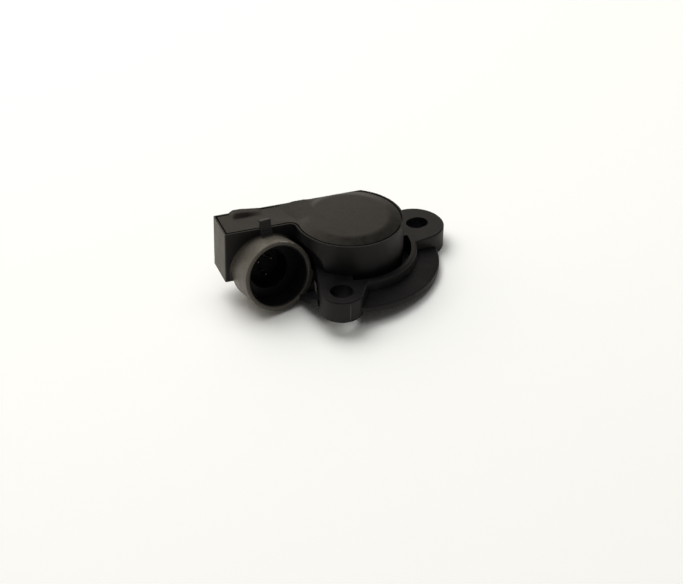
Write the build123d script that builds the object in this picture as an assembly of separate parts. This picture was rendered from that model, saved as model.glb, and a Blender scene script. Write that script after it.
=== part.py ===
from build123d import *
import os
from math import asin, cos, degrees, radians, sin, sqrt

os.makedirs("parts", exist_ok=True)

# Throttle position sensor, in millimetres and degrees.
# Z is the rotor's axis, towards the cover. The origin is on that axis, on the mounting face.
# The arm runs towards -X, and the connector points towards -Y.

# Drum and arm of the housing
drum_radius = 14.5
arm_length = 33.4
arm_front = 2.1
arm_back = 12.2
body_height = 14.5
arm_corner = 0.4
arm_root_corner = 1.6

# Cover, its seat in the housing and the weld groove round it
rim_wall = 0.45
weld_groove = 0.4
groove_depth = 0.8
cover_fit = 0.05
cover_plate = 1.8
crown_rise = 0.75
crown_slope = 3.0
crown_blend = 6.0
ramp_back_foot = 16.3
ramp_back_top = 11.6
ramp_front_foot = 13.3
ramp_front_top = 10.2
ramp_crest = 3.0
ramp_blend = 8.0
tab_start = 20.5
tab_end = 29.3
tab_lead = 1.2
tab_rise = 0.75
tab_flat = 2.0
tab_overlap = 0.9

# Board chamber under the cover
chamber_wall = 2.0
board_thickness = 1.0
board_drop = 1.3
board_fit = 0.1
board_ledge = 0.9
solder_room = 0.8
hold_down_width = 0.8

# Rotor chamber, bearing and seal
rotor_chamber_radius = 10.1
floor_top = 3.2
hub_radius = 4.5
bearing_clearance = 0.05
sleeve_wall = 1.3
seal_radius = 7.0
seal_height = 2.0
seal_recess = 0.3
seal_lip = 0.6

# Rotor
rotor_gap = 0.5
rotor_disc = 1.4
thrust_gap = 0.05
hub_recess = 0.4
hub_top_radius = 3.4
hub_top_rise = 0.7
drive_radius = 3.2
drive_flat = 2.2
drive_depth = 5.0
drive_lead = 0.4
peg_inset = 0.4
peg_width = 1.2
peg_drop = 1.6
peg_angle = -60.0
peg_arc = 9.0
rotor_travel = 100.0
stop_margin = 3.0
stop_arc = 10.0
rib_bite = 0.05

# Return spring
spring_wire = 0.7
spring_close_pitch = 1.1
spring_leg_gap = 0.05
spring_floor_gap = 0.05
spring_head_gap = 0.2

# Wiper and printed tracks
track_thickness = 0.1
track_width = 1.3
track_rim = 0.65
track_gap = 1.1
track_start = -170.0
track_end = -40.0
lead_clearance = 0.3
lead_width = 0.6
lead_rows = 1.6
collector_exit = 120.0
wiper_angle = -157.0
wiper_room = 1.85
wiper_sheet = 0.2
wiper_pad_length = 2.4
wiper_finger_width = 0.8
wiper_finger_reach = 3.4
wiper_gap = 0.05
stake_radius = 0.5
stake_fit = 0.05
stake_rise = 0.4

# Flange, collar and the moat between collar and drum
collar_inner = 16.7
collar_outer = 18.2
collar_top = 5.9
collar_round = 0.5
flange_radius = 24.2
flange_pad_radius = 21.5
flange_lift = 0.7
flange_edge = 1.6
flange_root = 3.0
flange_round = 0.4
flange_side = 17.7
moat_floor = 2.6
moat_pocket_floor = 1.2
front_moat_start = -106.0
front_moat_end = -1.0
pocket_start = -43.0
back_moat_start = 34.0
back_moat_end = 117.0

# Screw ears, both as high as the collar
hole_circle = 22.0
front_ear_angle = -114.8
front_boss_radius = 5.65
front_hole_radius = 3.05
front_ear_root = 7.6
rear_ear_angle = 12.2
rear_lobe_radius = 7.9
rear_lobe_inset = 0.8
rear_slot_width = 5.1
rear_slot_length = 6.1
ear_root_depth = 10.0
ear_edge = 0.25

# Connector shroud, given by the middle of its mouth and the turn of its axis
mouth_x = -21.3
mouth_y = -6.1
mouth_z = 4.4
shroud_yaw = 7.4
shroud_tilt = 11.5
mouth_radius = 9.5
root_radius = 9.3
socket_radius = 8.1
socket_depth = 6.8
shroud_reach = 9.4
mouth_round = 0.4
mouth_lead = 0.5
plug_gap = 0.9
plug_reach = 6.2
nose_radius = 7.0
nose_bore = 5.5
nose_depth = 13.0
nose_floor = 2.8

# Square corner of the shroud beside the drum, and the web from its foot to the front ear
block_side = 9.87
block_bottom = 8.1
block_top = 0.8
block_front = 0.1
block_back = 8.6
step_depth = 1.0
step_width = 0.35
web_start = 5.0
web_end = 4.7
web_length = 12.4
web_rise = 11.8
web_thickness = 1.6

# Lock tooth on top of the shroud
tooth_width = 2.9
tooth_front = 5.4
tooth_thickness = 1.5
tooth_height = 4.5
tooth_step = 1.6
tooth_step_out = 0.4
tooth_root = 0.9
tooth_edge = 0.2

# Terminals: a triangle of square pins in the socket, then a leg up to the board
pin_width = 0.8
pin_tip_depth = 8.6
pin_tip_length = 0.7
pin_tip_taper = 22.0
pin_base = 3.8
pin_rise = 4.0
pin_drop = 2.4
leg_row = 8.0
leg_bend = 1.0
leg_through = 0.7
leg_fit = 0.15
solder_radius = 1.0
solder_height = 0.5

# Levels and radii that follow from the sizes above
cover_seat = body_height - cover_plate
crown_foot = body_height - groove_depth / 2
board_top = cover_seat - board_drop
board_seat = board_top - board_thickness
track_face = board_seat - track_thickness
disc_top = track_face - wiper_room
disc_bottom = disc_top - rotor_disc
sleeve_top = disc_bottom - thrust_gap
bore_radius = hub_radius + bearing_clearance
sleeve_radius = bore_radius + sleeve_wall
lid_inset = rim_wall + weld_groove
lid_radius = drum_radius - lid_inset
rotor_radius = rotor_chamber_radius - rotor_gap
peg_outer = rotor_radius - peg_inset
peg_inner = peg_outer - peg_width
resistor_radius = rotor_radius - track_rim - track_width / 2
collector_radius = resistor_radius - track_width - track_gap
ledge_radius = drum_radius - chamber_wall - board_ledge
outer_lead_radius = ledge_radius - lead_clearance - lead_width / 2
spring_radius = (sleeve_radius + peg_inner) / 2
low_stop_angle = peg_angle - peg_arc / 2 - stop_margin - stop_arc
leg_arc = degrees(asin((spring_wire / 2 + spring_leg_gap) / peg_inner))


def outline(inset):
    """Plan of drum and arm, drawn in from the outer wall by the inset."""
    radius = drum_radius - inset
    front = arm_front + inset
    back = arm_back - inset
    end = arm_length - inset
    beyond = Pos(0, back + drum_radius) * Rectangle(4 * drum_radius, 2 * drum_radius)
    arm = Pos(-end / 2, (front + back) / 2) * Rectangle(end, back - front)
    plan = Circle(radius) - beyond + arm
    inner_corner = (-sqrt(radius**2 - front**2), front, 0)
    root = plan.vertices().sort_by_distance(inner_corner)[0]
    plan = fillet(root, arm_root_corner + inset)
    ends = plan.vertices().group_by(Axis.X)[0]
    return fillet(ends, max(arm_corner - inset, arm_corner / 4))


def prism(plan, low, high):
    return Pos(0, 0, low) * extrude(plan, high - low)


def sector(inner, outer, low, high, start, end):
    """Part of a ring, from one angle to another."""
    section = Pos((inner + outer) / 2, (low + high) / 2) * Rectangle(outer - inner, high - low)
    return revolve(Rot(0, 0, start) * (Plane.XZ * section), Axis.Z, end - start)


def connector_plane():
    """Plane of the shroud's mouth: X to its right, Y to its top, Z out along its axis."""
    yaw = radians(shroud_yaw)
    tilt = radians(shroud_tilt)
    outward = (sin(yaw) * cos(tilt), -cos(yaw) * cos(tilt), sin(tilt))
    return Plane((mouth_x, mouth_y, mouth_z), x_dir=(cos(yaw), sin(yaw), 0), z_dir=outward)


mouth = connector_plane()


def shroud_rod(radius, near, far):
    """Cylinder on the shroud's axis, between two depths behind its mouth."""
    return mouth * Pos(0, 0, -far) * extrude(Circle(radius), far - near)


def ear(lobe_centre, lobe_radius, root_half_width):
    """Straight-sided ear along +X, from the drum out to its round end."""
    sides = make_face(
        Polyline(
            (ear_root_depth, -root_half_width),
            (lobe_centre, -lobe_radius),
            (lobe_centre, lobe_radius),
            (ear_root_depth, root_half_width),
            close=True,
        )
    )
    solid = extrude(sides + Pos(lobe_centre, 0) * Circle(lobe_radius), collar_top)
    return chamfer(solid.faces().sort_by(Axis.Z)[-1].edges(), ear_edge)


def flange():
    """Round skirt with a flat pad below."""
    edge_top = flange_lift + flange_edge
    profile = make_face(
        Polyline(
            (0, 0),
            (flange_pad_radius, 0),
            (flange_pad_radius, flange_lift),
            (flange_radius, flange_lift),
            (flange_radius, edge_top),
            (collar_outer, flange_root),
            (0, flange_root),
            close=True,
        )
    )
    rim = profile.vertices().sort_by_distance((flange_radius, edge_top, 0))[0]
    disc = revolve(Plane.XZ * fillet(rim, flange_round), Axis.Z)
    span = 4 * flange_radius
    side = Pos(-flange_side - span / 2, 0, 0) * Box(span, span, span)
    return disc - side


def collar():
    ring = extrude(Circle(collar_outer), collar_top)
    return fillet(ring.edges().sort_by(Axis.Z)[-1], collar_round)


def moat():
    """Channel between the collar and the drum's wall, with a deeper pocket on its right."""
    inner = ear_root_depth
    front = sector(inner, collar_inner, moat_floor, body_height, front_moat_start, front_moat_end)
    pocket = sector(inner, collar_inner, moat_pocket_floor, body_height, pocket_start, front_moat_end)
    back = sector(inner, collar_inner, moat_floor, body_height, back_moat_start, back_moat_end)
    return front + pocket + back - extrude(outline(0), body_height)


def connector_corner():
    """Plan of the front left corner that the skirt leaves free for the plug, up to the front ear."""
    ear_place = Rot(0, 0, front_ear_angle)
    root = (ear_place * Pos(ear_root_depth, -front_ear_root)).position
    tip = (ear_place * Pos(hole_circle, -front_boss_radius)).position
    span = 2 * flange_radius
    return make_face(
        Polyline(
            (-span, arm_front),
            (root.X, arm_front),
            (root.X, root.Y),
            (tip.X, tip.Y),
            (tip.X, -span),
            (-span, -span),
            close=True,
        )
    )


def skirt():
    """Flange, collar and screw ears, with the moat cut in them."""
    ring = flange() + collar() - prism(connector_corner(), -flange_lift, body_height)
    ring += Rot(0, 0, front_ear_angle) * ear(hole_circle, front_boss_radius, front_ear_root)
    rear_centre = hole_circle - rear_lobe_inset
    ring += Rot(0, 0, rear_ear_angle) * ear(rear_centre, rear_lobe_radius, rear_lobe_radius)
    return ring - moat()


def square_corner(side, front, back):
    """Box right of the shroud's axis, with the height of its square corner."""
    place = Pos(side / 2, -(block_bottom + block_top) / 2, -(front + back) / 2)
    return mouth * place * Box(side, block_bottom - block_top, back - front)


def plug_room():
    """Scoop in the drum's wall that leaves the shroud free all round, for the plug."""
    scoop = shroud_rod(mouth_radius + plug_gap, -plug_reach, shroud_reach)
    scoop += square_corner(block_side + plug_gap, -plug_reach, shroud_reach)
    span = 4 * flange_radius
    return scoop - Pos(0, arm_front + span / 2, 0) * Box(span, span, span)


def tie_web():
    """Sloped web from the foot of the shroud's square corner to the front ear, beside its mounting face."""
    plan = make_face(
        Polyline(
            (web_start, -web_thickness),
            (block_side, -web_thickness),
            (block_side, 0),
            (web_end + web_thickness, web_length),
            (web_end, web_length),
            (web_start, 0),
            close=True,
        )
    )
    top = mouth * Pos(0, -block_bottom, -block_front) * Rot(90 - web_rise, 0, 0)
    span = 4 * flange_radius
    below_skirt = prism(Rectangle(span, span) - connector_corner(), -flange_radius, 0)
    return top * extrude(plan, -web_thickness) - below_skirt


def lock_tooth():
    """Upright tooth that the plug's latch snaps behind, with a step across its front."""
    low = root_radius - tooth_root
    profile = make_face(
        Polyline(
            (tooth_front - tooth_step_out, low),
            (tooth_front - tooth_step_out, mouth_radius + tooth_step),
            (tooth_front, mouth_radius + tooth_step),
            (tooth_front, mouth_radius + tooth_height),
            (tooth_front + tooth_thickness, mouth_radius + tooth_height),
            (tooth_front + tooth_thickness, low),
            close=True,
        )
    )
    side_view = Plane((-tooth_width / 2, 0, 0), x_dir=(0, 0, -1), z_dir=(1, 0, 0))
    tooth = extrude(side_view * profile, tooth_width)
    tops = tooth.faces().sort_by(Axis.Y)[-1].edges()
    return mouth * fillet(tops, tooth_edge)


def shroud():
    """Outside of the connector: shroud, the block beside it and the nose that runs on under the arm."""
    barrel = loft([
        Pos(0, 0, -shroud_reach) * Circle(root_radius),
        Circle(mouth_radius),
    ])
    barrel = mouth * fillet(barrel.edges().sort_by(Axis.Z)[-1], mouth_round)
    nose = shroud_rod(nose_radius, socket_depth, nose_depth + nose_floor)
    block = square_corner(block_side, block_front, block_back)
    block += square_corner(block_side + step_width, step_depth, block_back)
    return barrel + nose + block + lock_tooth()


def socket():
    """Hollow of the connector: wide at the mouth, then a ledge and a narrower bore."""
    wide = shroud_rod(socket_radius, -mouth_lead, socket_depth)
    lead = mouth * Pos(0, 0, -mouth_lead) * extrude(Circle(socket_radius), mouth_lead * 2, taper=-45)
    return wide + lead + shroud_rod(nose_bore, socket_depth - mouth_lead, nose_depth)


def pin_places():
    """Right, left and lower pin, as places across the socket."""
    top = pin_rise - pin_drop
    return [(pin_base / 2, top), (-pin_base / 2, top), (0, -pin_drop)]


def terminal(across, up):
    """Square pin in the socket, which runs back through the wall and up to the board."""
    tip = mouth * Pos(across, up, -pin_tip_depth - pin_tip_length)
    start = tip.position
    inward = mouth.z_dir * -1
    run = (leg_row - start.Y) / inward.Y
    corner = start + inward * run
    top = Vector(corner.X, corner.Y, board_top + leg_through)
    path = FilletPolyline(start, corner, top, radius=leg_bend)
    section = Plane(start, x_dir=mouth.x_dir, z_dir=inward) * Rectangle(pin_width, pin_width)
    body = sweep(section, path)
    point = extrude(tip * Rectangle(pin_width, pin_width), pin_tip_length, taper=pin_tip_taper)
    return body + point


def leg_top(across, up):
    """Place where a terminal's leg comes through the board."""
    start = (mouth * Pos(across, up, 0)).position
    inward = mouth.z_dir * -1
    corner = start + inward * ((leg_row - start.Y) / inward.Y)
    return corner.X, corner.Y


terminals = [terminal(across, up) for across, up in pin_places()]
leg_tops = [leg_top(across, up) for across, up in pin_places()]


def stop(angle, arc):
    """Rib in the rotor chamber that the rotor's peg turns against."""
    outer = rotor_chamber_radius + rib_bite
    return sector(peg_inner, outer, floor_top - rib_bite, sleeve_top, angle, angle + arc)


def stops():
    low = stop(low_stop_angle, stop_arc)
    high = stop(peg_angle + peg_arc / 2 + 2 * leg_arc + rotor_travel + stop_margin, stop_arc)
    return low + high


def housing():
    body = extrude(outline(0), body_height) - plug_room()
    body += skirt() + shroud() + tie_web()
    body -= prism(outline(rim_wall), cover_seat, body_height + cover_plate)
    body -= prism(outline(chamber_wall), board_seat, body_height)
    body -= prism(outline(chamber_wall + board_ledge), board_seat - solder_room, body_height)
    body -= prism(Circle(rotor_chamber_radius), floor_top, body_height)
    body += prism(Circle(sleeve_radius), floor_top, sleeve_top)
    body += stops()
    body -= prism(Circle(bore_radius), -flange_lift, body_height)
    body -= prism(Circle(seal_radius), -flange_lift, seal_height)
    body -= socket()
    front_hole = Pos(hole_circle, 0) * Circle(front_hole_radius)
    body -= Rot(0, 0, front_ear_angle) * prism(front_hole, -flange_lift, body_height)
    rear_slot = Pos(hole_circle, 0) * SlotOverall(rear_slot_length, rear_slot_width)
    body -= Rot(0, 0, rear_ear_angle) * prism(rear_slot, -flange_lift, body_height)
    for pin in terminals:
        body -= pin
    return body


def crown():
    """Raised round top of the cover, sloped down to its edge and cut by the drum's flat."""
    top = body_height + crown_rise
    profile = make_face(
        Polyline(
            (0, crown_foot),
            (lid_radius, crown_foot),
            (lid_radius, body_height),
            (lid_radius - crown_slope, top),
            (0, top),
            close=True,
        )
    )
    shoulder = profile.vertices().sort_by_distance((lid_radius - crown_slope, top, 0))[0]
    disc = revolve(Plane.XZ * fillet(shoulder, crown_blend), Axis.Z)
    block = Box(4 * drum_radius, 2 * drum_radius, 4 * body_height)
    return disc - Pos(0, arm_back - lid_inset + drum_radius, 0) * block


def ramp_section(foot, top, place_y):
    """Side view of the ramp at one distance behind the rotor axis, with a soft shoulder."""
    high = body_height + crown_rise
    section = make_face(
        Polyline(
            (-foot, crown_foot),
            (-foot, body_height),
            (-top, high),
            (ramp_crest - top, high),
            (0, crown_foot),
            close=True,
        )
    )
    shoulder = section.vertices().sort_by_distance((-top, high, 0))[0]
    return Pos(0, place_y, 0) * (Plane.XZ * fillet(shoulder, ramp_blend))


def crown_ramp():
    """Slope from the crown down to the arm, longer at the back than at the front."""
    front = ramp_section(ramp_front_foot, ramp_front_top, arm_front + lid_inset)
    back = ramp_section(ramp_back_foot, ramp_back_top, arm_back - lid_inset)
    return loft([front, back])


def back_tab():
    """Wedge on the arm's back edge that lies over the weld groove and the rim."""
    high = body_height + tab_rise
    crest = tab_end - tab_lead
    side = make_face(
        Polyline(
            (-tab_end, crown_foot),
            (-tab_end, body_height),
            (-crest, high),
            (tab_flat - crest, high),
            (-tab_start, body_height),
            (-tab_start, crown_foot),
            close=True,
        )
    )
    length = tab_overlap + lid_inset
    wedge = Pos(0, arm_back, 0) * extrude(Plane.XZ * side, length)
    return wedge - prism(outline(0) - outline(lid_inset), cover_seat, body_height + cover_fit)


def cover():
    groove_bottom = body_height - groove_depth
    lid = prism(outline(rim_wall + cover_fit), cover_seat, groove_bottom)
    lid += prism(outline(lid_inset), groove_bottom, body_height)
    lid += crown() + crown_ramp() + back_tab()
    hold_down = outline(chamber_wall + board_fit) - outline(chamber_wall + board_fit + hold_down_width)
    return lid + prism(hold_down, board_top, cover_seat)


def element_board():
    board = prism(outline(chamber_wall + board_fit), board_seat, board_top)
    hole = pin_width + leg_fit
    for x, y in leg_tops:
        board -= Pos(x, y, board_seat) * Box(hole, hole, 4 * board_thickness)
    return board


def track(radius, width, start, end):
    return sector(radius - width / 2, radius + width / 2, track_face, board_seat, start, end)


def strip(points, width):
    """Printed conductor of one width along straight runs."""
    line = trace(Polyline(*points), width)
    return prism(line, track_face, board_seat)


def lead_ends():
    """Rows of the three leads in the arm, nearest the arm's front first."""
    lowest = arm_front + chamber_wall + board_ledge
    return [lowest + lead_width / 2 + row * lead_rows for row in range(3)]


def arc_angle(radius, height):
    """Angle, on the arm's side, at which a circle reaches this distance behind the rotor axis."""
    return 180 - degrees(asin(height / radius))


def track_leads():
    """Leads from both ends of the resistor and from the collector to the terminals."""
    outer_row, inner_row, collector_row = lead_ends()
    right, left, lower = leg_tops
    half = track_width / 2
    gap = outer_lead_radius - resistor_radius - half
    outer_angle = arc_angle(outer_lead_radius, outer_row)
    outer = track(outer_lead_radius, lead_width, outer_angle - 360, track_end)
    outer += sector(resistor_radius + half, outer_lead_radius, track_face, board_seat,
                    track_end - degrees(asin(gap / resistor_radius)) / 2, track_end)
    outer_start = (-sqrt(outer_lead_radius**2 - outer_row**2), outer_row)
    outer += strip([outer_start, (left[0], outer_row), (left[0], left[1] - pin_width)], lead_width)
    inner_angle = arc_angle(resistor_radius, inner_row)
    inner = track(resistor_radius, lead_width, inner_angle - 360, track_start)
    inner_start = (-sqrt(resistor_radius**2 - inner_row**2), inner_row)
    inner += strip([inner_start, (lower[0], inner_row), (lower[0], lower[1] - pin_width)], lead_width)
    turn = collector_radius * cos(radians(collector_exit))
    rise = collector_radius * sin(radians(collector_exit))
    collector = track(collector_radius, lead_width, collector_exit - 360, track_start)
    last = (right[0] + pin_width, collector_row)
    collector += strip([(turn, rise), (turn, collector_row), last], lead_width)
    return [outer, inner, collector]


def solder_joints():
    joints = []
    for pin, (x, y) in zip(terminals, leg_tops):
        cone = Pos(x, y, board_top + solder_height / 2) * Cone(solder_radius, pin_width, solder_height)
        joints.append(cone - pin)
    return joints


def rotor():
    hub = prism(Circle(hub_radius), hub_recess, disc_bottom)
    disc = prism(Circle(rotor_radius), disc_bottom, disc_top)
    crown_hub = prism(Circle(hub_top_radius), disc_top, disc_top + hub_top_rise)
    peg = sector(peg_inner, peg_outer, disc_bottom - peg_drop, disc_bottom, peg_angle - peg_arc / 2,
                 peg_angle + peg_arc / 2)
    body = hub + disc + crown_hub + peg
    stake_top = disc_top + wiper_sheet + stake_rise
    for radius in stake_radii():
        stake = Pos(radius, 0) * Circle(stake_radius)
        body += Rot(0, 0, wiper_angle) * prism(stake, disc_top, stake_top)
    flat = Pos(drive_flat + drive_radius, 0) * Rectangle(2 * drive_radius, 4 * drive_radius)
    body -= prism(Circle(drive_radius) - flat, hub_recess, hub_recess + drive_depth)
    lead = Cone(drive_radius + drive_lead, drive_radius, drive_lead)
    return body - Pos(0, 0, hub_recess + drive_lead / 2) * lead


def stake_radii():
    return [collector_radius, resistor_radius]


def wiper():
    """Sheet-metal contact staked on the disc, with a sprung finger for each track."""
    inner = collector_radius - track_width / 2
    outer = resistor_radius + track_width / 2
    pad = Pos((inner + outer) / 2, 0) * Rectangle(outer - inner, wiper_pad_length)
    sheet = prism(pad, disc_top, disc_top + wiper_sheet)
    rise = track_face - wiper_gap - disc_top
    start = wiper_pad_length / 2 - wiper_sheet
    tip = start + wiper_finger_reach
    side = make_face(
        Polyline(
            (start, 0),
            (start + wiper_sheet, 0),
            (tip, rise - wiper_sheet),
            (tip + wiper_sheet * 2, rise - wiper_sheet),
            (tip + wiper_sheet * 2, rise),
            (tip - wiper_sheet / 2, rise),
            (start, wiper_sheet),
            close=True,
        )
    )
    for radius in stake_radii():
        edge = Plane((radius - wiper_finger_width / 2, 0, disc_top), x_dir=(0, 1, 0), z_dir=(1, 0, 0))
        sheet += extrude(edge * side, wiper_finger_width)
    for radius in stake_radii():
        sheet -= Pos(radius, 0, disc_top) * Cylinder(stake_radius + stake_fit, 4 * wiper_sheet)
    return Rot(0, 0, wiper_angle) * sheet


def return_spring():
    """Torsion coil round the sleeve, with a leg on a stop below and one on the rotor's peg above."""
    lower_angle = low_stop_angle - leg_arc
    upper_angle = peg_angle + peg_arc / 2 + leg_arc
    turn = upper_angle - lower_angle
    base = floor_top + spring_floor_gap + spring_wire / 2
    height = disc_bottom - spring_head_gap - spring_wire / 2 - base
    whole_turns = int(height / spring_close_pitch - turn / 360)
    coil = Helix(height / (whole_turns + turn / 360), height, spring_radius)
    section = Plane(coil @ 0, z_dir=coil % 0) * Circle(spring_wire / 2)
    wire = sweep(section, coil, is_frenet=True)
    reach = peg_outer - spring_radius
    leg = Pos(spring_radius, 0, 0) * Rot(0, 90, 0) * extrude(Circle(spring_wire / 2), reach)
    wire += leg + Rot(0, 0, turn) * Pos(0, 0, height) * leg
    return Rot(0, 0, lower_angle) * Pos(0, 0, base) * wire


def rotor_seal():
    """Ring pressed in the housing below the bearing, with a lip that bears on the hub."""
    profile = make_face(
        Polyline(
            (bore_radius, seal_recess + seal_lip),
            (bore_radius + seal_lip, seal_recess),
            (seal_radius, seal_recess),
            (seal_radius, seal_height),
            (bore_radius + seal_lip, seal_height),
            (bore_radius, seal_height - seal_lip),
            close=True,
        )
    )
    return revolve(Plane.XZ * profile, Axis.Z)


nodes = {
    "housing": housing(),
    "cover": cover(),
    "element_board": element_board(),
    "resistor_track": track(resistor_radius, track_width, track_start, track_end),
    "collector_track": track(collector_radius, track_width, track_start, track_end),
    "track_leads": Compound(track_leads()),
    "terminal_right": terminals[0],
    "terminal_left": terminals[1],
    "terminal_lower": terminals[2],
    "solder_joints": Compound(solder_joints()),
    "rotor": rotor(),
    "wiper": wiper(),
    "return_spring": return_spring(),
    "rotor_seal": rotor_seal(),
}

for name, shape in nodes.items():
    export_step(shape, os.path.join("parts", name + ".step"))
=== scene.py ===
import math

import bmesh
import bpy
import numpy as np
from mathutils import Matrix, Vector


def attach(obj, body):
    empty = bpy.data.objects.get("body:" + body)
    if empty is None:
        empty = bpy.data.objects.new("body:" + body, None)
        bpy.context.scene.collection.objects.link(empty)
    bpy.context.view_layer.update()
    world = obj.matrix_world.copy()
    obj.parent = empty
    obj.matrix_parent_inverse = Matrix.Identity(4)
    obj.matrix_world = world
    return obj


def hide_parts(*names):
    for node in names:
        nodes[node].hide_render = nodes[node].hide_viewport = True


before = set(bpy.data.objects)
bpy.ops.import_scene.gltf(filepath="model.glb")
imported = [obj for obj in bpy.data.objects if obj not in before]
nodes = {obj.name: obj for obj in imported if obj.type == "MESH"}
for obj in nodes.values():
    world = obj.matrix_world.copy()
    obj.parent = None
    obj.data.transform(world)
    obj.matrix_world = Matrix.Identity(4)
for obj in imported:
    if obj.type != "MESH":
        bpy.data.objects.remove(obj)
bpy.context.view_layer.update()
mm = 0.001
print("frame loaded:", len(nodes), "nodes")


# camera

cameraSet = dict(
    turn=20.94,  # degrees, from straight in front towards the arm's end
    height=33.82,  # degrees above the mounting plane
    roll=-1.11,
    focalPixels=2000,
    imageWidth=683,  # pixels
    pixelSize=0.262 * mm,  # at the rotor's axis
    aimHeight=14.54 * mm,  # point of the rotor's axis that the two shifts start from
    shiftRight=-7.36,  # pixels
    shiftUp=-74.56,
    sensorWidth=36,
    nearest=0.01,
    furthest=20,
)


def placeCamera(s):
    turn, height, roll = (math.radians(s[k]) for k in ("turn", "height", "roll"))
    right = Vector((math.cos(turn), -math.sin(turn), 0))
    back = Vector((
        -math.sin(turn) * math.cos(height),
        -math.cos(turn) * math.cos(height),
        math.sin(height),
    ))
    up = back.cross(right)
    right, up = math.cos(roll) * right - math.sin(roll) * up, math.sin(roll) * right + math.cos(roll) * up
    shift = s["shiftRight"] * right + s["shiftUp"] * up + s["focalPixels"] * back
    place = Vector((0, 0, s["aimHeight"])) + shift * s["pixelSize"]
    camera = bpy.data.objects.new("photoCamera", bpy.data.cameras.new("photoCamera"))
    camera.data.sensor_width = s["sensorWidth"]
    camera.data.lens = s["focalPixels"] / s["imageWidth"] * s["sensorWidth"]
    camera.data.clip_start = s["nearest"]
    camera.data.clip_end = s["furthest"]
    camera.matrix_world = Matrix((
        (right.x, up.x, back.x, place.x),
        (right.y, up.y, back.y, place.y),
        (right.z, up.z, back.z, place.z),
        (0, 0, 0, 1),
    ))
    bpy.context.scene.collection.objects.link(camera)
    bpy.context.scene.camera = camera


placeCamera(cameraSet)
print("camera placed")


# meshes

def nodeArrays(name):
    # a node's corner points as rows, and its triangles as rows of point numbers
    mesh = nodes[name].data
    points = np.empty(len(mesh.vertices) * 3, np.float32)
    mesh.vertices.foreach_get("co", points)
    corners = np.empty(len(mesh.loops), np.int32)
    mesh.loops.foreach_get("vertex_index", corners)
    return points.reshape(-1, 3).astype(float), corners.reshape(-1, 3)


def addMesh(name, points, faces):
    mesh = bpy.data.meshes.new(name)
    mesh.from_pydata(np.asarray(points).tolist(), [], faces)
    mesh.validate()
    piece = bpy.data.objects.new(name, mesh)
    bpy.context.scene.collection.objects.link(piece)
    return piece


def smooth(piece, angle):
    piece.data.shade_smooth()
    piece.data.set_sharp_from_angle(angle=math.radians(angle))


def turnOutwards(piece):
    # the faces of a closed shape all point outwards
    work = bmesh.new()
    work.from_mesh(piece.data)
    bmesh.ops.recalc_face_normals(work, faces=work.faces)
    work.to_mesh(piece.data)
    work.free()


def carry(piece, s, *materials):
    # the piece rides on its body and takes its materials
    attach(piece, s["body"])
    for material in materials:
        piece.data.materials.append(material)


weldSet = dict(grid=2e-7, flatAngle=0.2, sharpAngle=28)  # metres, then degrees


def weldedCopy(name, node, s):
    # corners that share a cell of a fine grid become one point, then flat triangles become whole faces
    points, faces = nodeArrays(node)
    cells = np.round(points / s["grid"]).astype(np.int64)
    _, first, number = np.unique(cells, axis=0, return_index=True, return_inverse=True)
    faces = number.reshape(-1)[faces]
    whole = (faces[:, 0] != faces[:, 1]) & (faces[:, 1] != faces[:, 2]) & (faces[:, 2] != faces[:, 0])
    piece = addMesh(name, points[first], faces[whole].tolist())
    work = bmesh.new()
    work.from_mesh(piece.data)
    flat = math.radians(s["flatAngle"])
    bmesh.ops.dissolve_limit(work, angle_limit=flat, verts=work.verts, edges=work.edges)
    work.to_mesh(piece.data)
    work.free()
    smooth(piece, s["sharpAngle"])
    return piece


def markCorners(piece, s):
    # outside corners sharper than the angle get bevel weight, those above the high level all of it
    work = bmesh.new()
    work.from_mesh(piece.data)
    weight = work.edges.layers.float.new("bevel_weight_edge")
    for edge in work.edges:
        if edge.is_manifold and edge.calc_face_angle_signed() > math.radians(s["corner"]):
            high = min(v.co.z for v in edge.verts) > s.get("highLevel", -1)
            edge[weight] = 1 if high else s.get("lowWeight", 1)
    work.to_mesh(piece.data)
    work.free()


def roundEdges(piece, s):
    markCorners(piece, s)
    bevel = piece.modifiers.new("edgeRound", "BEVEL")
    bevel.width = s["edge"]
    bevel.segments = s["steps"]
    bevel.limit_method = "WEIGHT"
    bevel.use_clamp_overlap = True
    bevel.harden_normals = True
    bevel.miter_outer = "MITER_SHARP"
    bevel.material = s.get("edgeMaterial", -1)


def skin(s, *materials):
    # smooth copy of a node, with rounded corners, that stands for it
    weld = dict(weldSet, sharpAngle=s.get("smooth", weldSet["sharpAngle"]))
    piece = weldedCopy(s["node"] + "_skin", s["node"], weld)
    carry(piece, s, *materials)
    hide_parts(s["node"])
    if s["edge"]:
        roundEdges(piece, s)
    print("skin:", piece.name, len(piece.data.polygons), "faces")


def ringFaces(rows, around):
    # quads of a tube of closed rings, with a many-sided face on each end
    row, side = np.meshgrid(np.arange(rows - 1), np.arange(around), indexing="ij")
    here = row * around + side
    beside = row * around + (side + 1) % around
    quads = np.stack([here, beside, beside + around, here + around], -1).reshape(-1, 4)
    start = list(range(around))[::-1]
    end = list(range((rows - 1) * around, rows * around))
    return quads.tolist() + [start, end]


def halfWave(u, ends):
    # root of half a sine wave along u, cut off a little before it reaches nought at either end
    return np.sqrt(np.sin(np.pi * (ends + (1 - 2 * ends) * u)))


def tubeAlong(name, s, path, outward, across, swell):
    # point = path + swell (proud cos t outward + wide sin t across), for t once round at each step
    t = np.linspace(0, 2 * np.pi, s["around"], endpoint=False)[None, :, None]
    proud = (s["proud"] * swell)[:, None, None]
    wide = (s["wide"] * swell)[:, None, None]
    rise = np.cos(t) * proud * outward[:, None, :]
    spreadOut = np.sin(t) * wide * across[:, None, :]
    points = path[:, None, :] + rise + spreadOut
    piece = addMesh(name, points.reshape(-1, 3), ringFaces(len(path), s["around"]))
    turnOutwards(piece)
    smooth(piece, s["sharpAngle"])
    return piece


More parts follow.
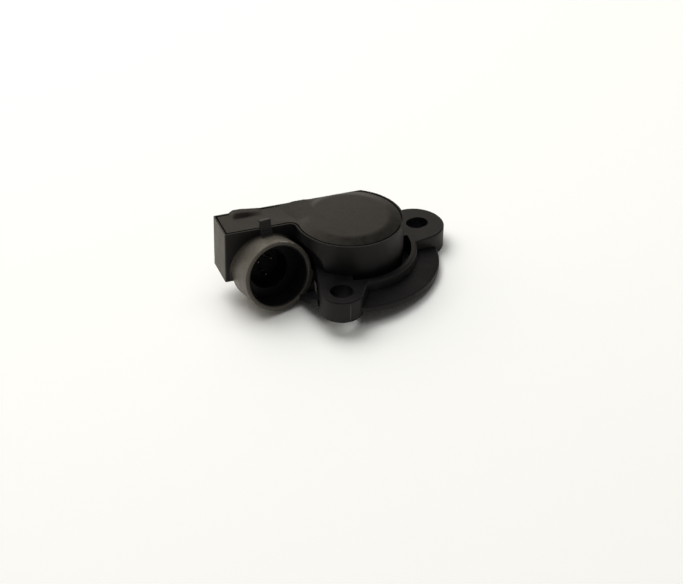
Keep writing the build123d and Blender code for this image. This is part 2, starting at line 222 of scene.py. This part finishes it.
# material helpers: most add a node to a tree and hand back its output

noiseSpan = (0.3, 0.7)  # a noise seldom leaves this


def blankMaterial(name):
    material = bpy.data.materials.new(name)
    material.use_nodes = True
    tree = material.node_tree
    return material, tree, tree.nodes["Principled BSDF"]


def placeOn(tree, stretch=(1, 1, 1)):
    place = tree.nodes.new("ShaderNodeTexCoord")
    mapping = tree.nodes.new("ShaderNodeMapping")
    mapping.inputs["Scale"].default_value = stretch
    tree.links.new(place.outputs["Object"], mapping.inputs["Vector"])
    return mapping.outputs["Vector"]


def noise(tree, place, scale, detail):
    texture = tree.nodes.new("ShaderNodeTexNoise")
    texture.inputs["Scale"].default_value = scale
    texture.inputs["Detail"].default_value = detail
    tree.links.new(place, texture.inputs["Vector"])
    return texture.outputs["Fac"]


def spread(tree, value, start, end, low, high):
    # low up to the start, high from the end on, and a straight line between
    span = tree.nodes.new("ShaderNodeMapRange")
    for socket, number in zip(("From Min", "From Max", "To Min", "To Max"), (start, end, low, high)):
        span.inputs[socket].default_value = number
    tree.links.new(value, span.inputs["Value"])
    return span.outputs["Result"]


def tone(tree, value, *stops):
    ramp = tree.nodes.new("ShaderNodeValToRGB")
    band = ramp.color_ramp
    while len(band.elements) < len(stops):
        band.elements.new(0.5)
    for element, (position, colour) in zip(band.elements, stops):
        element.position = position
        element.color = (*colour, 1)
    tree.links.new(value, ramp.inputs["Fac"])
    return ramp.outputs["Color"]


def join(tree, operation, a, b=0):
    # a and b are outputs or plain numbers
    step = tree.nodes.new("ShaderNodeMath")
    step.operation = operation
    for socket, value in zip(step.inputs, (a, b)):
        if isinstance(value, (int, float)):
            socket.default_value = value
        else:
            tree.links.new(value, socket)
    return step.outputs["Value"]


def blend(tree, share, under, over):
    # each colour is an output or a plain tuple
    mix = tree.nodes.new("ShaderNodeMix")
    mix.data_type = "RGBA"
    tree.links.new(share, mix.inputs["Factor"])
    for socket, colour in zip((mix.inputs[6], mix.inputs[7]), (under, over)):
        if isinstance(colour, tuple):
            socket.default_value = (*colour, 1)
        else:
            tree.links.new(colour, socket)
    return mix.outputs[2]


def relief(tree, height, strength, distance, under=None):
    bump = tree.nodes.new("ShaderNodeBump")
    bump.inputs["Strength"].default_value = strength
    bump.inputs["Distance"].default_value = distance
    tree.links.new(height, bump.inputs["Height"])
    if under:
        tree.links.new(under, bump.inputs["Normal"])
    return bump.outputs["Normal"]


def wire(tree, shader, **outputs):
    names = dict(colour="Base Color", rough="Roughness", normal="Normal")
    for key, output in outputs.items():
        tree.links.new(output, shader.inputs[names[key]])


# moulded black plastic of the housing and the cover

barrelRadius = 9.5 * mm
armEnd = -33.4 * mm

shroudSet = dict(
    mouth=(-21.3 * mm, -6.1 * mm, 4.4 * mm),  # middle of the connector's mouth
    yaw=7.4,  # degrees that its axis turns towards the drum
    tilt=11.5,  # degrees that its axis points up
    # where the painted light starts and ends (a paler tone painted on the barrel's lit side, its rim and the
    # arm's end, standing in for the light on them): sideways, out from the axis, and ahead of the mouth
    openSide=(4.5 * mm, 7.5 * mm),
    wall=(barrelRadius - 0.75 * mm, barrelRadius - 0.35 * mm),
    rimInside=(barrelRadius - 1.5 * mm, barrelRadius - 1.2 * mm),
    outside=(barrelRadius + 0.15 * mm, barrelRadius + 0.4 * mm),
    root=(-10.2 * mm, -9.4 * mm),
    rim=(-0.3 * mm, -0.08 * mm),
    ahead=(0.1 * mm, 0.4 * mm),
    armEnd=(armEnd + 0.05 * mm, armEnd + 0.3 * mm),  # along the arm
    rimShare=0.8,
    endShare=0.55,
    # the lock tooth, in the same directions, and the paler bluish tone painted on it as painted light
    toothSide=(1.55 * mm, 1.65 * mm),
    toothFoot=(barrelRadius + 0.1 * mm, barrelRadius + 0.3 * mm),
    toothBack=(-7.8 * mm, -7.4 * mm),
    toothPaintedTone=(0.019, 0.0195, 0.021),
    paintedLightMottle=2400,
    paintedLightStops=((0.3, (0.084, 0.078, 0.067)), (0.7, (0.128, 0.118, 0.100))),
    paintedLightRough=0.42,
)


def shroudPlace(tree, s):
    # place on the connector, with x sideways, y up and z ahead, and the place along the arm
    place = tree.nodes.new("ShaderNodeTexCoord")
    local = tree.nodes.new("ShaderNodeMapping")
    local.vector_type = "TEXTURE"
    local.inputs["Location"].default_value = s["mouth"]
    local.inputs["Rotation"].default_value = (math.radians(90 - s["tilt"]), 0, math.radians(s["yaw"]))
    tree.links.new(place.outputs["Object"], local.inputs["Vector"])
    parts = tree.nodes.new("ShaderNodeSeparateXYZ")
    tree.links.new(local.outputs["Vector"], parts.inputs["Vector"])
    whole = tree.nodes.new("ShaderNodeSeparateXYZ")
    tree.links.new(place.outputs["Object"], whole.inputs["Vector"])
    return local.outputs["Vector"], *(parts.outputs[k] for k in "XYZ"), whole.outputs["X"]


def product(tree, *values):
    result = values[0]
    for value in values[1:]:
        result = join(tree, "MULTIPLY", result, value)
    return result


def paintedLightShare(tree, s):
    # share of painted light, a paler tone for the lit faces: one on the open side of the connector's barrel,
    # less on its rim and the arm's end, and nought elsewhere
    local, x, y, z, alongArm = shroudPlace(tree, s)
    radius = join(tree, "SQRT", join(tree, "ADD", join(tree, "POWER", x, 2), join(tree, "POWER", y, 2)))
    barrel = product(tree, spread(tree, x, *s["openSide"], 1, 0), spread(tree, radius, *s["wall"], 0, 1))
    rim = spread(tree, z, *s["rim"], 0, s["rimShare"])
    share = product(
        tree,
        join(tree, "MAXIMUM", barrel, rim),
        spread(tree, radius, *s["rimInside"], 0, 1),
        spread(tree, radius, *s["outside"], 1, 0),
        spread(tree, z, *s["root"], 0, 1),
        spread(tree, z, *s["ahead"], 1, 0),
    )
    share = join(tree, "MAXIMUM", share, spread(tree, alongArm, *s["armEnd"], s["endShare"], 0))
    # painted light: mask of the lock tooth, which is painted paler
    tooth = product(
        tree,
        spread(tree, join(tree, "ABSOLUTE", x), *s["toothSide"], 1, 0),
        spread(tree, y, *s["toothFoot"], 0, 1),
        spread(tree, z, *s["toothBack"], 0, 1),
    )
    return share, tooth, local


waveDepth = 0.2 * mm
pitDepth = 0.04 * mm


def mouldedPlastic(name, s):
    material, tree, shader = blankMaterial(name)
    place = placeOn(tree)
    cloud = noise(tree, place, s["cloud"], 4)
    pits = noise(tree, place, s["grain"], 2)
    colour = tone(tree, cloud, (0.3, s["dark"]), (0.72, s["pale"]))
    rough = spread(tree, cloud, *noiseSpan, *s["rough"])
    # painted light: a paler, mottled tone on the connector's lit side and the arm's end, and a paler bluish
    # tone on the lock tooth; the roughness is lowered where the lit tone lies
    if "paintedLight" in s:
        paintedLight = s["paintedLight"]
        share, tooth, local = paintedLightShare(tree, paintedLight)
        paintedLit = tone(tree, noise(tree, local, paintedLight["paintedLightMottle"], 4), *paintedLight["paintedLightStops"])
        colour = blend(tree, share, blend(tree, tooth, colour, paintedLight["toothPaintedTone"]), paintedLit)
        paintedLightSmoothing = join(tree, "MULTIPLY", share, paintedLight["paintedLightRough"] - s["rough"][1])
        rough = join(tree, "ADD", rough, paintedLightSmoothing)
    wave = relief(tree, cloud, s["wave"], waveDepth)
    normal = relief(tree, pits, s["pit"], pitDepth, wave)
    wire(tree, shader, colour=colour, rough=rough, normal=normal)
    shader.inputs["IOR"].default_value = s["ior"]
    return material


housingBlack = mouldedPlastic("housingBlack", dict(
    dark=(0.0052, 0.0050, 0.0060), pale=(0.0092, 0.0088, 0.0102), rough=(0.42, 0.54),
    cloud=260, grain=5200, wave=0.05, pit=0.14, ior=1.36, paintedLight=shroudSet,
))
# painted highlight: the paler material on the housing's bevelled edges stands in for the highlights along
# them
housingEdgeHighlight = mouldedPlastic("housingEdgeHighlight", dict(
    dark=(0.030, 0.030, 0.032), pale=(0.064, 0.063, 0.066), rough=(0.3, 0.42),
    cloud=700, grain=4000, wave=0.04, pit=0.1, ior=1.48,
))
# painted highlight: the pale tone of the parting ridge stands in for the highlight along it
ridgePaintedHighlight = mouldedPlastic("ridgePaintedHighlight", dict(
    dark=(0.034, 0.034, 0.036), pale=(0.062, 0.062, 0.066), rough=(0.3, 0.4),
    cloud=900, grain=4000, wave=0.04, pit=0.1, ior=1.48,
))
coverBlack = mouldedPlastic("coverBlack", dict(
    dark=(0.0065, 0.0059, 0.0052), pale=(0.0145, 0.0130, 0.0115), rough=(0.24, 0.34),
    cloud=420, grain=6500, wave=0.06, pit=0.16, ior=1.36,
))

# the housing's bevelled edges take its second material, the painted highlight
housingSet = dict(
    node="housing", body="housing", slot="housing_plastic",
    edge=0.28 * mm, steps=2, corner=28, edgeMaterial=1, highLevel=14.4 * mm, lowWeight=0.5,
)
coverSet = dict(
    node="cover", body="housing", slot="cover_plastic",
    edge=0.12 * mm, steps=2, corner=28,
)
skin(housingSet, housingBlack, housingEdgeHighlight)
skin(coverSet, coverBlack)


# parting ridge down the front boss, painted pale as a painted highlight

ridgeSet = dict(
    name="boss_parting_ridge", body="housing", slot="housing_plastic",
    centre=(-9.228 * mm, -19.971 * mm), radius=5.65 * mm, angle=-86.0, low=0.5 * mm, high=5.4 * mm,
    proud=0.012 * mm, wide=0.13 * mm, ends=0.04, steps=24, around=10, sharpAngle=60,
)


def addRidge(s, paint):
    # straight tube up the boss wall, half sunk in it and thinner towards its ends
    u = np.linspace(0, 1, s["steps"])
    angle = math.radians(s["angle"])
    out = np.array((math.cos(angle), math.sin(angle), 0.0))
    foot = np.array((*s["centre"], 0.0)) + s["radius"] * out
    path = foot + np.outer(s["low"] + u * (s["high"] - s["low"]), (0, 0, 1))
    across = np.cross((0, 0, 1), out)
    ridge = tubeAlong(s["name"], s, path, out[None], across[None], halfWave(u, s["ends"]))
    carry(ridge, s, paint)


addRidge(ridgeSet, ridgePaintedHighlight)


# soft root in front of the tab on the lid's back edge

tabSet = dict(
    name="tab_root", body="housing", slot="cover_plastic",
    start=-29.2 * mm, crest=(-28.1 * mm, -26.1 * mm), end=-20.7 * mm,  # along the arm
    back=10.45 * mm, reach=2.0 * mm, level=14.5 * mm, rise=0.73 * mm, lift=0.004 * mm, sunk=0.1 * mm,
    steps=48, around=14, sharpAngle=40,
)


def addTabRoot(s, paint):
    # half wave from the tab's crest down to the lid, swept along the arm with the tab's own rise
    x = np.linspace(s["start"], s["end"], s["steps"])
    rise = np.interp(x, (s["start"], *s["crest"], s["end"]), (0, s["rise"], s["rise"], 0))[:, None]
    v = np.linspace(0, 1, s["around"])[None]
    y = np.broadcast_to(s["back"] - s["reach"] * v, (s["steps"], s["around"]))
    z = s["level"] + rise * (0.5 + 0.5 * np.cos(np.pi * v)) + s["lift"]
    low = np.full_like(z, s["level"] - s["sunk"])
    ring = np.concatenate([np.stack([y, z], -1), np.stack([y, low], -1)[:, ::-1]], 1)
    points = np.concatenate([np.broadcast_to(x[:, None, None], (*ring.shape[:2], 1)), ring], -1)
    root = addMesh(s["name"], points.reshape(-1, 3), ringFaces(s["steps"], 2 * s["around"]))
    turnOutwards(root)
    smooth(root, s["sharpAngle"])
    carry(root, s, paint)


addTabRoot(tabSet, coverBlack)


# burrs left on the connector's rim, painted pale as glints

burrSet = dict(
    name="connector_burr", body="housing", slot="housing_plastic",
    radius=barrelRadius - 0.12 * mm, back=0.1 * mm, wide=0.1 * mm, proud=0.17 * mm,
    arcs=((97, 112), (119, 121.5)),  # degrees round the mouth, from its left over its top
    steady=0.7, coarse=0.2, coarseTurns=23, fine=0.1, fineTurns=61,  # of the ragged thickness
    ends=0.03, steps=40, around=8, sharpAngle=60,
    fleck=2400, stops=((0.35, (0.16, 0.15, 0.135)), (0.65, (0.55, 0.53, 0.49))),
    rough=(0.45, 0.7), bump=(0.3, 0.03 * mm),
)


def burrPaintedGlint(s):
    # painted glint: a pale flecked tone stands in for the glints on the burrs
    material, tree, shader = blankMaterial("burrPaintedGlint")
    fleck = noise(tree, placeOn(tree), s["fleck"], 3)
    colour = tone(tree, fleck, *s["stops"])
    rough = spread(tree, fleck, *noiseSpan, *s["rough"])
    wire(tree, shader, colour=colour, rough=rough, normal=relief(tree, fleck, *s["bump"]))
    return material


def addBurr(s, number, start, end, paint):
    # thread along an arc of the rim: half a wave thick, times a steady share and two quick sine waves
    u = np.linspace(0, 1, s["steps"])
    turn = np.radians(start + u * (end - start))
    tilt, yaw = math.radians(shroudSet["tilt"]), math.radians(shroudSet["yaw"])
    ahead = np.array((math.sin(yaw), -math.cos(yaw), 0))
    axis = math.cos(tilt) * ahead + np.array((0, 0, math.sin(tilt)))
    rise = -math.sin(tilt) * ahead + np.array((0, 0, math.cos(tilt)))
    side = np.array((-math.cos(yaw), -math.sin(yaw), 0))
    outward = np.outer(np.cos(turn), side) + np.outer(np.sin(turn), rise)
    path = np.array(shroudSet["mouth"]) - axis * s["back"] + s["radius"] * outward
    coarse = s["coarse"] * np.sin(s["coarseTurns"] * u + number)
    fine = s["fine"] * np.sin(s["fineTurns"] * u)
    swell = halfWave(u, s["ends"]) * (s["steady"] + coarse + fine)
    burr = tubeAlong(s["name"] + "_%d" % number, s, path, outward, axis[None], swell)
    carry(burr, s, paint)


burrGlintPaint = burrPaintedGlint(burrSet)
for number, (start, end) in enumerate(burrSet["arcs"], 1):
    addBurr(burrSet, number, start, end, burrGlintPaint)
print("moulding marks added")


# bare metals: the pins' bright tin plate, solder, spring steel and spring bronze

metalBump = 0.02 * mm


def bareMetal(name, s):
    # fine lines set its polish, and a cloudy bloom its tone
    material, tree, shader = blankMaterial(name)
    line = noise(tree, placeOn(tree, s["stretch"]), s["lines"], 3)
    bloom = noise(tree, placeOn(tree), s["bloom"], s["bloomDetail"])
    colour = tone(tree, bloom, (0.3, s["dark"]), (0.7, s["pale"]))
    rough = spread(tree, line, *noiseSpan, *s["rough"])
    wire(tree, shader, colour=colour, rough=rough, normal=relief(tree, line, s["depth"], metalBump))
    shader.inputs["Metallic"].default_value = 1
    return material


tinPlate = bareMetal("tinPlate", dict(
    dark=(0.62, 0.60, 0.55), pale=(0.82, 0.80, 0.75), rough=(0.16, 0.34),
    stretch=(1, 0.12, 1), lines=2600, bloom=900, bloomDetail=2, depth=0.15,
))
solderMetal = bareMetal("solderMetal", dict(
    dark=(0.50, 0.50, 0.52), pale=(0.78, 0.78, 0.79), rough=(0.16, 0.36),
    stretch=(1, 1, 1), lines=2200, bloom=800, bloomDetail=3, depth=0.2,
))
springSteel = bareMetal("springSteel", dict(
    dark=(0.36, 0.36, 0.37), pale=(0.62, 0.61, 0.60), rough=(0.22, 0.38),
    stretch=(1, 1, 6), lines=1800, bloom=600, bloomDetail=3, depth=0.12,
))
springBronze = bareMetal("springBronze", dict(
    dark=(0.56, 0.36, 0.17), pale=(0.78, 0.56, 0.31), rough=(0.24, 0.4),
    stretch=(8, 0.6, 8), lines=1500, bloom=500, bloomDetail=3, depth=0.1,
))

pinSet = dict(body="housing", slot="tinned_brass", edge=0.05 * mm, steps=2, corner=28)
solderSet = dict(node="solder_joints", body="housing", slot="solder", edge=0.12 * mm, steps=3, corner=20)
springSet = dict(node="return_spring", body="housing", slot="spring_steel", edge=0, smooth=50)
wiperSet = dict(node="wiper", body="rotor", slot="spring_bronze", edge=0.03 * mm, steps=1, corner=28)
for side in ("right", "left", "lower"):
    skin(dict(pinSet, node="terminal_" + side), tinPlate)
skin(solderSet, solderMetal)
skin(springSet, springSteel)
skin(wiperSet, springBronze)


# laminate board: two crossed sets of threads under clear resin

boardSet = dict(
    node="element_board", body="housing", slot="board_laminate",
    edge=0.06 * mm, steps=1, corner=28,
    threads=520, waver=0.6, stain=300, weaveShare=0.45, stainShare=0.7,
    stops=((0.2, (0.25, 0.165, 0.075)), (0.85, (0.52, 0.39, 0.22))),
    rough=(0.34, 0.5), bump=(0.2, 0.03 * mm),
)


def laminate(s):
    material, tree, shader = blankMaterial("laminate")
    place = placeOn(tree)
    threads = []
    for direction in ("X", "Y"):
        wave = tree.nodes.new("ShaderNodeTexWave")
        wave.bands_direction = direction
        wave.inputs["Scale"].default_value = s["threads"]
        wave.inputs["Distortion"].default_value = s["waver"]
        tree.links.new(place, wave.inputs["Vector"])
        threads.append(wave.outputs["Fac"])
    weave = product(tree, *threads)
    stain = noise(tree, place, s["stain"], 3)
    pattern = join(tree, "ADD", product(tree, weave, s["weaveShare"]), product(tree, stain, s["stainShare"]))
    colour = tone(tree, pattern, *s["stops"])
    rough = spread(tree, stain, *noiseSpan, *s["rough"])
    wire(tree, shader, colour=colour, rough=rough, normal=relief(tree, weave, *s["bump"]))
    return material


skin(boardSet, laminate(boardSet))


# printed inks on the board: black carbon for the tracks, grey silver for the leads

inkSet = dict(
    body="housing", edge=0, smooth=35,
    speck=5200, patch=700, bump=(0.25, 0.02 * mm),
)
carbonSet = dict(
    inkSet, slot="carbon_ink", metal=0,
    dark=(0.010, 0.010, 0.011), pale=(0.034, 0.034, 0.036), rough=(0.36, 0.56),
)
silverSet = dict(
    inkSet, slot="silver_ink", metal=0.85,
    dark=(0.50, 0.49, 0.46), pale=(0.82, 0.81, 0.78), rough=(0.38, 0.55),
)


def printedInk(name, s):
    material, tree, shader = blankMaterial(name)
    place = placeOn(tree)
    speck = noise(tree, place, s["speck"], 3)
    patch = noise(tree, place, s["patch"], 2)
    colour = tone(tree, speck, (0.32, s["dark"]), (0.7, s["pale"]))
    rough = spread(tree, patch, *noiseSpan, *s["rough"])
    wire(tree, shader, colour=colour, rough=rough, normal=relief(tree, speck, *s["bump"]))
    shader.inputs["Metallic"].default_value = s["metal"]
    return material


carbonInk = printedInk("carbonInk", carbonSet)
for track in ("resistor_track", "collector_track"):
    skin(dict(carbonSet, node=track), carbonInk)
skin(dict(silverSet, node="track_leads"), printedInk("silverInk", silverSet))


# glass-filled plastic of the rotor, with short fibres in it

rotorSet = dict(
    node="rotor", body="rotor", slot="rotor_plastic",
    edge=0.1 * mm, steps=2, corner=28,
    fibre=900, fibreLie=((1, 5, 5), (5, 1, 5)), fleckSpan=(0.4, 0.75),
    stops=((0.5, (0.040, 0.040, 0.041)), (0.62, (0.062, 0.062, 0.062)), (0.75, (0.125, 0.122, 0.118))),
    rough=(0.42, 0.6), bump=(0.2, 0.03 * mm),
)


def filledPlastic(s):
    material, tree, shader = blankMaterial("filledPlastic")
    fleck = join(tree, "MAXIMUM", *(noise(tree, placeOn(tree, lie), s["fibre"], 2) for lie in s["fibreLie"]))
    colour = tone(tree, fleck, *s["stops"])
    rough = spread(tree, fleck, *s["fleckSpan"], *s["rough"])
    wire(tree, shader, colour=colour, rough=rough, normal=relief(tree, fleck, *s["bump"]))
    return material


skin(rotorSet, filledPlastic(rotorSet))


# rubber of the seal, with a faint bloom on it

sealSet = dict(
    node="rotor_seal", body="housing", slot="seal_rubber",
    edge=0.1 * mm, steps=2, corner=28,
    bloom=500, grain=4200,
    stops=((0.35, (0.014, 0.014, 0.0145)), (0.75, (0.042, 0.041, 0.040))),
    rough=(0.5, 0.72), bump=(0.2, 0.03 * mm),
)


def sealRubber(s):
    material, tree, shader = blankMaterial("sealRubber")
    bloom = noise(tree, placeOn(tree), s["bloom"], 4)
    grain = noise(tree, placeOn(tree), s["grain"], 2)
    colour = tone(tree, bloom, *s["stops"])
    rough = spread(tree, bloom, *noiseSpan, *s["rough"])
    wire(tree, shader, colour=colour, rough=rough, normal=relief(tree, grain, *s["bump"]))
    return material


skin(sealSet, sealRubber(sealSet))
print("inner pieces dressed")


# floor that the sensor lies on

floorSet = dict(
    size=3.0,
    gap=0.02 * mm,  # below the lowest point
    steepest=0.3,  # least downward part of a normal for a face that can be stood on
    lean=2.3,  # degrees
    colour=(0.75, 0.735, 0.71),  # as the light bounces off it
    seenColour=(0.955, 0.98, 0.985),  # as the camera sees it
    rough=0.8,
    ior=1.3,
)


def restingPlane(s):
    # of the downward faces of the convex hull, the one that is highest under the middle of the volume
    points, faces = nodeArrays("housing")
    a, b, c = (points[faces[:, k]] for k in range(3))
    volume = np.einsum("ij,ij->i", a, np.cross(b, c)) / 6
    middle = ((a + b + c) / 4 * volume[:, None]).sum(0) / volume.sum()
    work = bmesh.new()
    for point in np.unique(np.round(points, 6), axis=0):
        work.verts.new(point)
    bmesh.ops.convex_hull(work, input=work.verts)
    work.normal_update()
    normals = np.array([face.normal for face in work.faces])
    places = np.array([face.verts[0].co for face in work.faces])
    work.free()
    down = normals[:, 2] < -s["steepest"]
    normals, places = normals[down], places[down]
    depth = ((places - middle) * normals).sum(1) / normals[:, 2]
    upright = -normals[np.argmax(depth)]
    # it can rock about its long axis, and the lean keeps the front boss clear of the paper
    level = np.array((upright[2], 0, -upright[0]))
    level /= np.linalg.norm(level)
    lean = math.radians(s["lean"])
    upright = upright * math.cos(lean) + np.cross(level, upright) * math.sin(lean)
    return points[np.argmin(points @ upright)], upright


def paperMaterial(s):
    # paler to the camera than to the light that bounces off it, and clear from below
    paper, tree, shader = blankMaterial("paper")
    rays = tree.nodes.new("ShaderNodeLightPath")
    seen = tone(tree, rays.outputs["Is Camera Ray"], (0, s["colour"]), (1, s["seenColour"]))
    wire(tree, shader, colour=seen)
    shader.inputs["Roughness"].default_value = s["rough"]
    shader.inputs["IOR"].default_value = s["ior"]
    side = tree.nodes.new("ShaderNodeNewGeometry")
    clear = tree.nodes.new("ShaderNodeBsdfTransparent")
    mix = tree.nodes.new("ShaderNodeMixShader")
    tree.links.new(side.outputs["Backfacing"], mix.inputs["Fac"])
    tree.links.new(shader.outputs["BSDF"], mix.inputs[1])
    tree.links.new(clear.outputs["BSDF"], mix.inputs[2])
    tree.links.new(mix.outputs["Shader"], tree.nodes["Material Output"].inputs["Surface"])
    return paper


def addFloor(s):
    # grid of two parameters across the resting plane
    lowest, upright = restingPlane(s)
    print("floor at mm", np.round(lowest / mm, 2).tolist(), "normal", np.round(upright, 4).tolist())
    across = np.cross((0.0, 1.0, 0.0), upright)
    across /= np.linalg.norm(across)
    along = np.cross(upright, across)
    u, v = (k.reshape(-1, 1) for k in np.meshgrid((-0.5, 0.5), (-0.5, 0.5)))
    points = lowest - upright * s["gap"] + s["size"] * (u * across + v * along)
    floor = addMesh("paperFloor", points, [(0, 1, 3, 2)])
    floor.data.materials.append(paperMaterial(s))


addFloor(floorSet)


# light

lightSet = dict(
    windowTowards=(-0.27, 0.85, 0.32),  # middle of the bright part of the dome
    windowEdge=0.58,  # dot product with that direction where the bright part ends
    windowStrength=1.15,
    windowColour=(1.0, 0.90, 0.76),
    roomStrength=0.14,
    roomColour=(1.0, 0.95, 0.87),
    lampColour=(1.0, 0.985, 0.955),
    lamps=(
        dict(name="overheadBox", place=(-0.05, 0.05, 1.0), size=1.0, power=4.1),
        dict(name="backBox", place=(-0.22, 0.48, 0.85), size=0.8, power=5.8),
    ),
)


def addDome(s):
    # its strength grows in a straight line from the window's edge to its middle
    world = bpy.data.worlds.new("studio")
    bpy.context.scene.world = world
    world.use_nodes = True
    tree = world.node_tree
    room = tree.nodes["Background"]
    room.inputs["Color"].default_value = (*s["roomColour"], 1)
    room.inputs["Strength"].default_value = s["roomStrength"]
    window = tree.nodes.new("ShaderNodeBackground")
    window.inputs["Color"].default_value = (*s["windowColour"], 1)
    look = tree.nodes.new("ShaderNodeTexCoord")
    towards = tree.nodes.new("ShaderNodeVectorMath")
    towards.operation = "DOT_PRODUCT"
    towards.inputs[1].default_value = Vector(s["windowTowards"]).normalized()
    tree.links.new(look.outputs["Generated"], towards.inputs[0])
    strength = spread(tree, towards.outputs["Value"], s["windowEdge"], 1, 0, s["windowStrength"])
    tree.links.new(strength, window.inputs["Strength"])
    both = tree.nodes.new("ShaderNodeAddShader")
    tree.links.new(room.outputs["Background"], both.inputs[0])
    tree.links.new(window.outputs["Background"], both.inputs[1])
    tree.links.new(both.outputs["Shader"], tree.nodes["World Output"].inputs["Surface"])


def addLamp(s, colour):
    lamp = bpy.data.lights.new(s["name"], "AREA")
    lamp.shape = "SQUARE"
    lamp.size = s["size"]
    lamp.energy = s["power"]
    lamp.color = colour
    stand = bpy.data.objects.new(s["name"], lamp)
    stand.location = s["place"]
    stand.visible_glossy = False  # the plastics mirror the window only
    stand.rotation_mode = "QUATERNION"
    stand.rotation_quaternion = (-Vector(s["place"])).to_track_quat("-Z", "Y")
    bpy.context.scene.collection.objects.link(stand)


addDome(lightSet)
for lampSet in lightSet["lamps"]:
    addLamp(lampSet, lightSet["lampColour"])
bpy.context.scene.view_settings.view_transform = "Standard"
print("light set")
